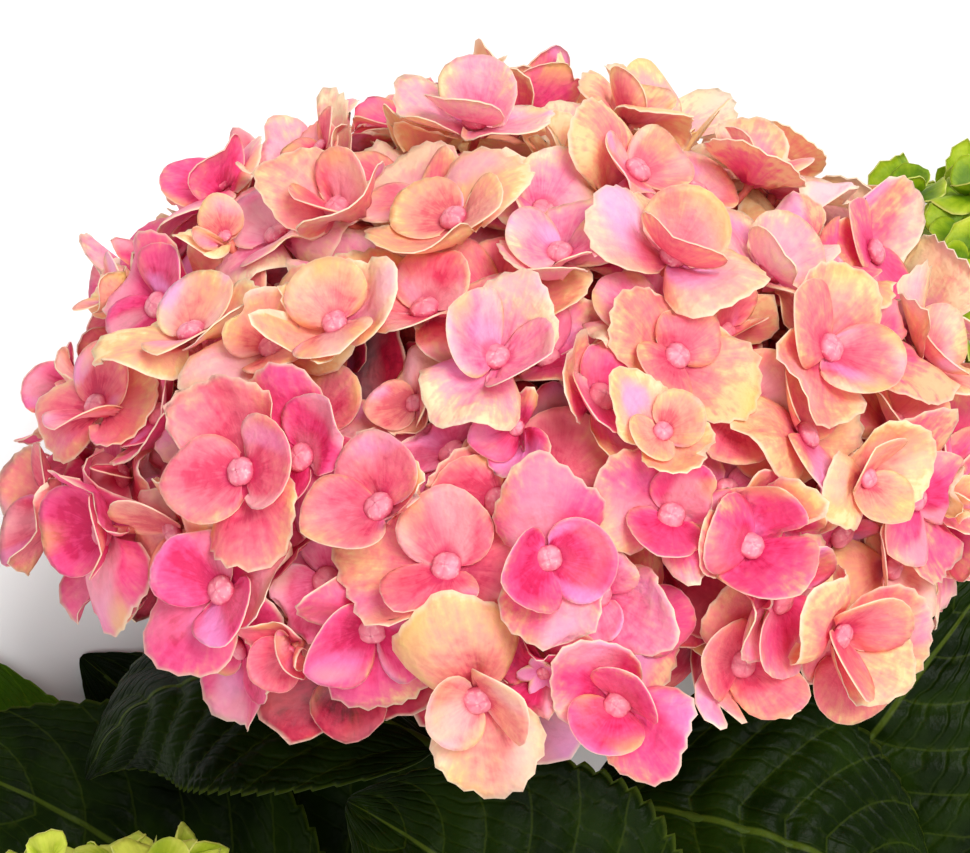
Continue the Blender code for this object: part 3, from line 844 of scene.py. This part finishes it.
class Canopy:
    """How far out a bloom has room, in each direction, under the petals laid so far."""

    def __init__(self, bloom):
        self.stretch = np.array((1, 1, bloom.half_width / bloom.half_depth))
        self.half = math.ceil(CANOPY_LOWEST / CANOPY_CELL) + 2
        self.room = np.full((2 * self.half, 2 * self.half), np.inf)

    def cells(self, points):
        points = points * self.stretch
        radius = np.linalg.norm(points, axis=-1)
        level = np.maximum(np.hypot(points[..., 0], points[..., 1]), 1e-9)
        polar = np.minimum(np.arctan2(level, points[..., 2]), CANOPY_LOWEST) / CANOPY_CELL
        row = (self.half + polar * points[..., 0] / level).astype(int)
        column = (self.half + polar * points[..., 1] / level).astype(int)
        return row, column, radius

    def pressed(self, grid, clearance):
        """The grid, pushed inward wherever it has no room."""
        row, column, radius = self.cells(grid)
        over = np.maximum(0, radius - self.room[row, column] + clearance)
        if not over.any():
            return grid
        for _ in range(3):
            padded = np.pad(over, 1, mode="edge")
            around = (padded[:-2, 1:-1] + padded[2:, 1:-1] + padded[1:-1, :-2] + padded[1:-1, 2:]) / 4
            over = np.maximum(over, around * PRESS_SPREAD)
        return grid * ((radius - over) / radius)[..., None]

    def cover(self, grid):
        """Takes the room above a grid away from what is laid after it."""
        between = (grid[:-1] + grid[1:]) / 2
        rows = np.concatenate([grid, between])
        points = np.concatenate([rows, (rows[:, :-1] + rows[:, 1:]) / 2], 1).reshape(-1, 3)
        row, column, radius = self.cells(points)
        for down in (-1, 0, 1):
            for right in (-1, 0, 1):
                np.minimum.at(self.room, (row + down, column + right), radius)


def moved(grid, turned, shift):
    """A grid turned and shifted from one frame to another."""
    return grid @ np.array(turned).T + np.array(shift)


def placed(grid, place):
    """A grid taken from a bloom's frame to the branch's, over the surface."""
    return above_floor(moved(grid, place.to_3x3(), place.translation), FLORET_FLOOR)


def lay_floret(canopy, floret, rng, grain, upright):
    """The floret's sepals in their bloom's frame, under those laid before, and its own place and turn."""
    centre, face, size = floret
    middle = np.array([[tuple(centre + face * size * BUTTON_HEIGHT * 1.3)]])
    centre = Vector(centre + Vector((canopy.pressed(middle, CLEAR_OF_FLORET) - middle)[0, 0]))
    turned = turned_to(face) @ Matrix.Rotation(rng.uniform(0, math.pi), 3, "Z")
    sepals = []
    for shape in sepal_shapes(rng, size, upright):
        grid = moved(sepal(shape, rng, *grain), turned, centre)
        sepals.append((shape, canopy.pressed(grid, CLEAR_OF_FLORET)))
    laid = []
    for shape, grid in sepals:
        grid = canopy.pressed(grid, CLEAR_OF_SEPAL)
        canopy.cover(grid)
        laid.append((shape, grid))
    return laid, centre, turned


def finer_florets(bloom, rng, large, small, share_small):
    """Each floret's middle, face direction and size by the source's rule, from the outermost inward."""
    florets, before = [], []
    flatness = (bloom.half_width / bloom.half_depth) ** 2
    for place in spread(bloom, bloom.florets, rng, FLORET_LOOSENESS):
        level = min(range(FLORET_LEVELS), key=lambda i: crowding(place, i, before, bloom.radius))
        before.append((place, level))
        square = Vector((place.x, place.y, place.z * flatness)).normalized()
        lean = Vector([rng.uniform(-1, 1) for _ in range(3)]) * FLORET_LEAN * FINE_LEAN
        face = (square + lean).normalized()
        lift = bloom.radius * LEVEL_STEP * FINE_STEP * (level - (FLORET_LEVELS - 1) / 2)
        size = bloom.radius * (rng.uniform(*small) if rng.random() < share_small else rng.uniform(*large))
        florets.append((lift + rng.uniform(0, 1e-4), (place + face * lift, face, size)))
    florets.sort(key=lambda item: -item[0])
    return [floret for _, floret in florets]


def twig_curve(start, end, along=None):
    """A slightly curved path between two points, which may end in a given direction."""
    middle = (start + end) / 2
    if along is not None:
        middle = end - along * (end - start).length * 0.45
    return np.array([quadratic(start, middle, end, i / (TWIG_STATIONS - 1)) for i in range(TWIG_STATIONS)])


def build_twigs(name, bloom, slot, finish, twigs, place, florets):
    """The piece of the bloom's stem, its three orders of twigs and the stalk of each floret."""
    thick = bloom.twig * TWIG_THICKNESS
    stem, branches, rays, fine = twigs
    tubes = []
    orders = [(*stem, None)], branches, rays, fine
    for order, taper in zip(orders, TAPERS):
        for start, end, _ in order:
            path = twig_curve(place @ start, place @ end)
            tubes.append((path, thick * np.linspace(*taper, TWIG_STATIONS)))
    stalks = forked(fine, [centre for centre, *_ in florets], 1)
    for (start, _, _), (centre, face, size) in zip(stalks, florets):
        way = (place.to_3x3() @ face).normalized()
        path = twig_curve(place @ start, place @ (centre - face * size * 0.02), way)
        tubes.append((path, thick * 0.24 * np.array((1.1, 0.9, 0.85, 0.85, 0.95, 1.6))))
    piece = Piece(name, [bloom.name], slot, finish)
    for path, radii in tubes:
        piece.add(above_floor(tube(path, radii, TWIG_SIDES), FLORET_FLOOR), closed=True)
    piece.build()


def start_bloom(bloom):
    """A bloom's random numbers, the place of its frame in the branch's, and its twigs."""
    rng = random.Random(bloom.seed)
    place = Matrix.Translation(bloom.centre) @ turned_to(bloom.axis).to_4x4()
    return rng, place, bloom_twigs(bloom, rng)


def pink_bloom():
    bloom = PINK_BLOOM
    _, place, twigs = start_bloom(bloom)
    rng = random.Random(FLORET_SEED)
    florets = []
    for layer in PINK_LAYERS:
        shell = bloom._replace(half_width=bloom.half_width * layer.wide, lowest=layer.lowest,
                               half_depth=bloom.half_depth * layer.deep, florets=layer.florets)
        florets += finer_florets(shell, rng, layer.large, layer.small, PINK_SMALL)
    upright = place.to_3x3()
    lean = upright.inverted() @ Matrix.Rotation(-PINK_LEAN, 3, "Z") @ upright
    pieces = {}
    for name, kind in PETALS.items():
        names = [f"{name}_petals_{i + 1}" for i in range(kind.pieces)]
        finish = petal_material(name + "_petals", kind)
        pieces[name] = [Piece(piece, [bloom.name], "pink_bloom", finish) for piece in names]
    buttons = Piece("buttons", [bloom.name], "pink_bloom", button_material())
    canopy = Canopy(bloom)
    tips = []
    for number, (centre, face, size) in enumerate(florets):
        face = lean @ face
        seen = number < PINK_FLORETS
        grain = SEEN_GRAIN if seen else HIDDEN_GRAIN
        small = size < bloom.radius * 0.85
        way = upright @ face
        raised = max(0, way.y)
        # Painted light: florets that face the top and right, towards the key light, are painted paler and
        # more peach, and those facing left and down pinker and darker.
        painted_light = 0.7 * raised + 0.2 * way.y + 0.8 * way.x - 0.13
        steepness = 12 * small + 10 * raised**2
        sepals, centre, turned = lay_floret(canopy, (lean @ centre, face, size), rng, grain, steepness)
        group = pieces[petal_group(rng, seen, small, painted_light)]
        for shape, grid in sepals:
            channels = petal_channels(shape, rng, *grain, PINK_PAINTED_LIGHT * painted_light)
            group[number % len(group)].add(placed(grid, place), **channels)
        tips.append((centre, face, size))
        if number == OPEN_FLORET:
            for shape, grid in open_middle(size):
                channels = petal_channels(shape, random.Random(0), *HIDDEN_GRAIN, 0.2)
                channels["lilac"] = 0.5
                pieces["blush"][0].add(placed(moved(grid, turned, centre), place), **channels)
            centre = centre + face * size * OPEN_LIFT
            size *= OPEN_BUTTON
        if seen:
            grid, along, groove = button(size)
            buttons.add(placed(moved(grid, turned, centre), place), closed=True, along=along, side=groove)
    for piece in (*sum(pieces.values(), []), buttons):
        piece.build()
    finish = twig_material("pink_twigs", (196, 66, 78), (214, 120, 96))
    build_twigs("pink_bloom_twigs", bloom, "pink_bloom", finish, twigs, place, tips)


def petal_group(rng, seen, small, painted_light):
    """A floret's colour. Small ones turn to peach first; those at the bloom's top and right, where the key
    light falls, are made more peach as painted light.
    """
    # Hidden florets get the petals painted dark as shade.
    if not seen:
        return "deep"
    shares = 0.44 - 0.34 * painted_light, 0.26 + 0.14 * painted_light, 0.2, max(0.03, 0.1 + 0.16 * painted_light)
    return rng.choices(("rose", "coral", "blush", "peach"), (0.1, 0.3, 0.1, 0.5) if small else shares)[0]


def green_bloom(bloom, petals, twig_finish, painted_light):
    rng, place, twigs = start_bloom(bloom)
    piece = Piece(bloom.name + "_petals", [bloom.name], "green_bloom", petals)
    canopy = Canopy(bloom)
    tips = []
    for floret in finer_florets(bloom, rng, (0.85, 1.1), (0.5, 0.75), GREEN_SMALL):
        sepals, centre, turned = lay_floret(canopy, floret, rng, GREEN_GRAIN, 14)
        for shape, grid in sepals:
            piece.add(placed(grid, place), **petal_channels(shape, rng, *GREEN_GRAIN, painted_light))
        grid, _, _ = button(floret[2] * 1.1)
        middle = placed(moved(grid, turned, centre), place)
        piece.add(middle, closed=True, along=0.8, side=0, tone=0.6, lilac=0, sunlit=0, pale=0, seed=0)
        tips.append((centre, *floret[1:]))
    piece.build()
    build_twigs(bloom.name + "_twigs", bloom, "green_bloom", twig_finish, twigs, place, tips)


# ---- leaves and stems


def vein_order(share, side):
    """Which side vein a place lies on, as a whole number, or between which two."""
    return SIDE_VEINS * (share - VEIN_SWEEP * np.abs(side) ** 1.25) + np.where(side < 0, 0.3, 0)


def blade(leaf, seed):
    """The grid of a blade, its face on one half of each ring and its underside on the other."""
    rng = random.Random(seed)
    phases = [rng.uniform(0, 2 * math.pi) for _ in range(4)]
    side = np.linspace(-1, 1, BLADE_COLUMNS + 1)
    side = np.sign(side) * np.abs(side) ** 0.9
    out = np.abs(side)
    thick = RIM_THICKNESS + (BLADE_THICKNESS - RIM_THICKNESS) * (1 - out**3)
    rings, orders = [], []
    for i in range(BLADE_STATIONS + 1):
        share = i / BLADE_STATIONS
        point, sideways, face = (np.array(v) for v in blade_frame(leaf, share))
        half = blade_half_width(leaf, share)
        width = half / leaf.half_width
        tooth = ((share * TEETH) % 1) ** 0.7 - 0.6
        reach = side * half + np.sign(side) * out**8 * TOOTH_DEPTH * width * tooth
        order = vein_order(share, side)
        apart = 2 * np.abs(order - np.round(order))
        quilt = QUILT * apart * (2 - apart) * (1 - out**4) * width**0.5
        groove = MIDRIB_GROOVE * swelling(reach, MIDRIB_HALF)
        swing = np.sin(BLADE_WAVES * share + phases[0] + np.where(side < 0, phases[1], phases[2]))
        wave = BLADE_WAVE * out**2 * swing * width
        rungs = np.sin(RUNG_TURNS * out + 2 * np.sin(17 * share + phases[3]))
        relief = quilt + RUNG_RELIEF * rungs * apart * width - groove + wave
        middle = point + np.outer(reach, sideways) + np.outer(out * half * leaf.fold + relief, face)
        top = above_floor(middle + np.outer(thick / 2, face), BLADE_FLOOR + BLADE_THICKNESS)
        under = above_floor(middle - np.outer(thick / 2, face), BLADE_FLOOR)
        rings.append(np.vstack([top, under[::-1]]))
        orders.append(np.hstack([order, order[::-1]]))
    under = np.repeat([0, 1], len(side))
    both = np.hstack([side, side[::-1]])
    return np.array(rings), {"order": np.array(orders) + 10, "side": both[None], "under": under[None]}


def stalk(leaf):
    """The grid of a leaf's stalk, which goes on under its blade as the midrib."""
    middle, axis, radius = node_of(leaf.limb, leaf.node)
    out = across(axis, leaf.turn)
    foot = middle + out * (radius + GAP + PETIOLE_FOOT)
    into = (leaf.bend - leaf.knee).normalized()
    bend = (leaf.knee - foot).length * PETIOLE_BEND
    path = [middle + out * (radius - STALK_SINK)]
    for i in range(8):
        path.append(cubic(foot, foot + out * bend, leaf.knee - into * bend, leaf.knee, i / 8))
    for i in range(9):
        point, _, face = blade_frame(leaf, MIDRIB_REACH * i / 8)
        path.append(point - face * MIDRIB_DEPTH)
    path = above_floor(resampled(path, STALK_STATIONS), BLADE_FLOOR + 0.0006)
    share = np.linspace(0, 1, STALK_STATIONS)
    radii = PETIOLE_RADIUS + (MIDRIB_TIP_RADIUS * 0.6 - PETIOLE_RADIUS) * share**0.8
    radii += STALK_FLARE * swelling(share, STALK_FLARE_SPREAD)
    return tube(path, radii, STALK_SIDES)


def leaves():
    # The leaves' dark green is painted darker than their own colour, near black, as painted shade under the
    # bloom.
    dark = leaf_material("leaves", (9, 21, 1), (23, 39, 3), (84, 100, 28), (50, 66, 24))
    bright = leaf_material("young_leaves", (40, 68, 1), (62, 94, 2), (122, 156, 24), (90, 112, 44))
    for number, leaf in enumerate(LEAVES):
        finish = bright if leaf.name == "leaf_left_outer" else dark
        piece = Piece(leaf.name + "_blade", [leaf.name], "leaf", finish)
        grid, channels = blade(leaf, number)
        piece.add(grid, closed=True, **channels)
        piece.add(stalk(leaf), closed=True, order=0, side=0, under=0.5)
        piece.build()


def main_stem():
    distances = np.linspace(STEM_LENGTH, STEM_TOP + GAP, STEM_STATIONS)
    turn = full_turn(STEM_SIDES)
    radii, nodes = [], [0, 0]
    for distance in distances:
        ridges = 0.00010 * np.cos(6 * turn + distance * 14) + 0.00008 * np.sin(11 * turn - distance * 60)
        ring = STEM_RING * swelling(distance - STEM_NODES["middle"], STEM_RING_SPREAD)
        radii.append(stem_radius(distance) + ridges + ring)
        nodes.append(max(swelling(distance - node, NODE_SPREAD) for node in STEM_NODES.values()))
    grid = tube(np.array([on_stem(distance) for distance in distances]), radii, STEM_SIDES)
    rim = grid[:1].mean(1, keepdims=True)
    lip = rim + (grid[:1] - rim) * CUT_LIP
    pith = rim + (grid[:1] - rim) * PITH + np.array(AXIS) * PITH_DEPTH
    grid = np.vstack([pith, lip, grid])
    cut = np.zeros((len(grid), 1))
    cut[:2] = 1
    piece = Piece("stem_bark", ["main_stem"], "stem", stem_material())
    piece.add(above_floor(grid, 0), closed=True, cut=cut, node=np.array(nodes)[:, None])
    piece.build()
    return piece.material


def shoots(finish):
    share = np.linspace(0, 1, BARK_STATIONS)
    turn = full_turn(BARK_SIDES)[None]
    swell = swelling(share - SHOOT_NODE, SHOOT_NODE_SPREAD)[:, None]
    ridges = 0.00008 * np.cos(6 * turn) + 0.00006 * np.sin(9 * turn + 20 * share[:, None])
    for name, (points, sizes) in SHOOTS.items():
        radii = np.interp(share, np.linspace(0, 1, len(sizes)), sizes)[:, None] + ridges
        piece = Piece(name + "_bark", [name], "stem", finish)
        grid = tube(resampled(points, BARK_STATIONS), radii, BARK_SIDES)
        piece.add(grid, closed=True, cut=0, node=swell)
        piece.build()


# ---- studio


def studio():
    scene = bpy.context.scene
    bpy.ops.mesh.primitive_plane_add(size=8, location=(0, 0, 0))
    floor = bpy.context.object
    floor.name = "floor"
    shader = Shader("floor")
    shader.surface.inputs["Base Color"].default_value = FLOOR_COLOUR
    shader.surface.inputs["Roughness"].default_value = 0.8
    floor.data.materials.append(shader.material)

    for name, direction, strength, angle in LIGHTS:
        light = bpy.data.lights.new(name, "SUN")
        light.energy = strength
        light.angle = math.radians(angle)
        added(name, light).rotation_euler = Vector(direction).to_track_quat("Z", "Y").to_euler()

    world = bpy.data.worlds.new("studio")
    world.use_nodes = True
    sky = world.node_tree.nodes["Background"].inputs
    sky["Color"].default_value, sky["Strength"].default_value = (1, 1, 1, 1), WORLD_STRENGTH
    scene.world = world

    camera = bpy.data.cameras.new("camera")
    camera.sensor_width = SENSOR
    camera.lens = SENSOR * VIEW_DISTANCE / (PIXEL * PHOTO_WIDTH)
    scene.camera = added("camera", camera)
    scene.camera.location = BLOOM_CENTRE + Vector((0, 0, VIEW_DISTANCE)) + OFFSET
    scene.view_settings.view_transform = "Standard"


studio()
shoots(main_stem())
leaves()
lime = lime_material()
green_twigs = twig_material("green_twigs", (150, 170, 60), (186, 196, 90))
# Painted light: the left green bloom, in the pink bloom's shade, is painted lighter, and the right one is
# painted darker as shade.
for spec, shade in zip(GREEN_BLOOMS, GREEN_PAINTED_LIGHT):
    green_bloom(spec, lime, green_twigs, shade)
pink_bloom()
